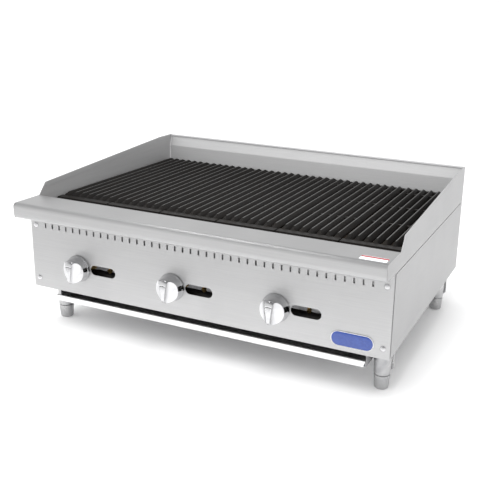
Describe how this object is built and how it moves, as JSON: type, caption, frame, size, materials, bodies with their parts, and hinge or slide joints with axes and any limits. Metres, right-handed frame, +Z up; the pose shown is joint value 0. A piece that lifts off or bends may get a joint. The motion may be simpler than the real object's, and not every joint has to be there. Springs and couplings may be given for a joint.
{
  "type": "charbroiler grill",
  "caption": "Countertop gas charbroiler with a stainless body, cast iron grates, control knobs, splash walls, a pull-out drip tray and adjustable legs.",
  "frame": {"origin": "middle of the footprint, level with the soles of the feet", "axes": "+X to the right seen from the front, the front faces -Y, +Z up"},
  "size_m": [0.914, 0.712, 0.386],
  "materials": {
    "brushed_stainless": "horizontally brushed stainless sheet",
    "bright_stainless": "bright stainless lip",
    "aluminised_sheet": "dull aluminised sheet",
    "cast_iron": "seasoned black cast iron",
    "burner_steel": "heat-dulled burner tube",
    "chrome": "polished chrome plate",
    "badge_enamel": "blue enamel field with a bright metal rim",
    "label_film": "white film with a plain red band",
    "brass": "machined brass",
    "black_pipe": "black iron pipe",
    "leg_steel": "satin nickel plated steel",
    "zinc_steel": "zinc plated steel"
  },
  "bodies": {
    "chassis": {"side_panel_left": "brushed_stainless", "side_panel_right": "brushed_stainless", "back_panel": "brushed_stainless", "base_channel_left": "aluminised_sheet", "base_channel_right": "aluminised_sheet", "base_cross_bars": "aluminised_sheet", "control_panel": "brushed_stainless", "panel_screws": "chrome", "front_rail": "brushed_stainless", "side_splash_left": "brushed_stainless", "side_splash_right": "brushed_stainless", "back_splash": "brushed_stainless", "badge_plate": "badge_enamel", "rail_label": "label_film", "manifold_pipe": "black_pipe", "gas_inlet_pipe": "black_pipe", "orifice_hoods": "brass", "burner_rest": "aluminised_sheet", "pilot_lines": "brass", "firebox_front": "aluminised_sheet", "firebox_rear": "aluminised_sheet", "firebox_sides": "aluminised_sheet", "grate_ledges": "aluminised_sheet", "radiant_rack": "cast_iron", "tray_rails": "aluminised_sheet", "leg_bolts": "zinc_steel", "valve_body_1": "brass", "burner_1": "burner_steel", "radiants_1": "cast_iron", "valve_body_2": "brass", "burner_2": "burner_steel", "radiants_2": "cast_iron", "valve_body_3": "brass", "burner_3": "burner_steel", "radiants_3": "cast_iron", "leg_front_left": "leg_steel", "leg_front_right": "leg_steel", "leg_rear_left": "leg_steel", "leg_rear_right": "leg_steel"},
    "knob_1": {"knob_1": "chrome", "valve_stem_1": "zinc_steel"},
    "air_shutter_1": {"air_shutter_1": "zinc_steel"},
    "knob_2": {"knob_2": "chrome", "valve_stem_2": "zinc_steel"},
    "air_shutter_2": {"air_shutter_2": "zinc_steel"},
    "knob_3": {"knob_3": "chrome", "valve_stem_3": "zinc_steel"},
    "air_shutter_3": {"air_shutter_3": "zinc_steel"},
    "grate_1": {"grate_1": "cast_iron"},
    "grate_2": {"grate_2": "cast_iron"},
    "grate_3": {"grate_3": "cast_iron"},
    "grate_4": {"grate_4": "cast_iron"},
    "grate_5": {"grate_5": "cast_iron"},
    "grate_6": {"grate_6": "cast_iron"},
    "tray": {"drip_tray": "aluminised_sheet", "tray_front": "bright_stainless"},
    "foot_front_left": {"foot_front_left": "leg_steel"},
    "foot_front_right": {"foot_front_right": "leg_steel"},
    "foot_rear_left": {"foot_rear_left": "leg_steel"},
    "foot_rear_right": {"foot_rear_right": "leg_steel"}
  },
  "joints": [
    {"name": "knob_1_turn", "type": "hinge", "parent": "chassis", "child": "knob_1", "pos_m": [-0.32, -0.3018, 0.169], "axis": [0, -1, 0], "range_deg": [0, 180]},
    {"name": "air_shutter_1_turn", "type": "hinge", "parent": "chassis", "child": "air_shutter_1", "pos_m": [-0.32, -0.213, 0.169], "axis": [0, 1, 0], "range_deg": [0, 60]},
    {"name": "knob_2_turn", "type": "hinge", "parent": "chassis", "child": "knob_2", "pos_m": [-0.06, -0.3018, 0.169], "axis": [0, -1, 0], "range_deg": [0, 180]},
    {"name": "air_shutter_2_turn", "type": "hinge", "parent": "chassis", "child": "air_shutter_2", "pos_m": [-0.06, -0.213, 0.169], "axis": [0, 1, 0], "range_deg": [0, 60]},
    {"name": "knob_3_turn", "type": "hinge", "parent": "chassis", "child": "knob_3", "pos_m": [0.2, -0.3018, 0.169], "axis": [0, -1, 0], "range_deg": [0, 180]},
    {"name": "air_shutter_3_turn", "type": "hinge", "parent": "chassis", "child": "air_shutter_3", "pos_m": [0.2, -0.213, 0.169], "axis": [0, 1, 0], "range_deg": [0, 60]},
    {"name": "grate_1_lift", "type": "slide", "parent": "chassis", "child": "grate_1", "axis": [0, 0, 1], "range_m": [0, 0.12]},
    {"name": "grate_2_lift", "type": "slide", "parent": "chassis", "child": "grate_2", "axis": [0, 0, 1], "range_m": [0, 0.12]},
    {"name": "grate_3_lift", "type": "slide", "parent": "chassis", "child": "grate_3", "axis": [0, 0, 1], "range_m": [0, 0.12]},
    {"name": "grate_4_lift", "type": "slide", "parent": "chassis", "child": "grate_4", "axis": [0, 0, 1], "range_m": [0, 0.12]},
    {"name": "grate_5_lift", "type": "slide", "parent": "chassis", "child": "grate_5", "axis": [0, 0, 1], "range_m": [0, 0.12]},
    {"name": "grate_6_lift", "type": "slide", "parent": "chassis", "child": "grate_6", "axis": [0, 0, 1], "range_m": [0, 0.12]},
    {"name": "tray_slide", "type": "slide", "parent": "chassis", "child": "tray", "axis": [0, -1, 0], "range_m": [0, 0.48]},
    {"name": "foot_front_left_adjust", "type": "slide", "parent": "chassis", "child": "foot_front_left", "axis": [0, 0, -1], "range_m": [0, 0.02]},
    {"name": "foot_front_right_adjust", "type": "slide", "parent": "chassis", "child": "foot_front_right", "axis": [0, 0, -1], "range_m": [0, 0.02]},
    {"name": "foot_rear_left_adjust", "type": "slide", "parent": "chassis", "child": "foot_rear_left", "axis": [0, 0, -1], "range_m": [0, 0.02]},
    {"name": "foot_rear_right_adjust", "type": "slide", "parent": "chassis", "child": "foot_rear_right", "axis": [0, 0, -1], "range_m": [0, 0.02]}
  ]
}
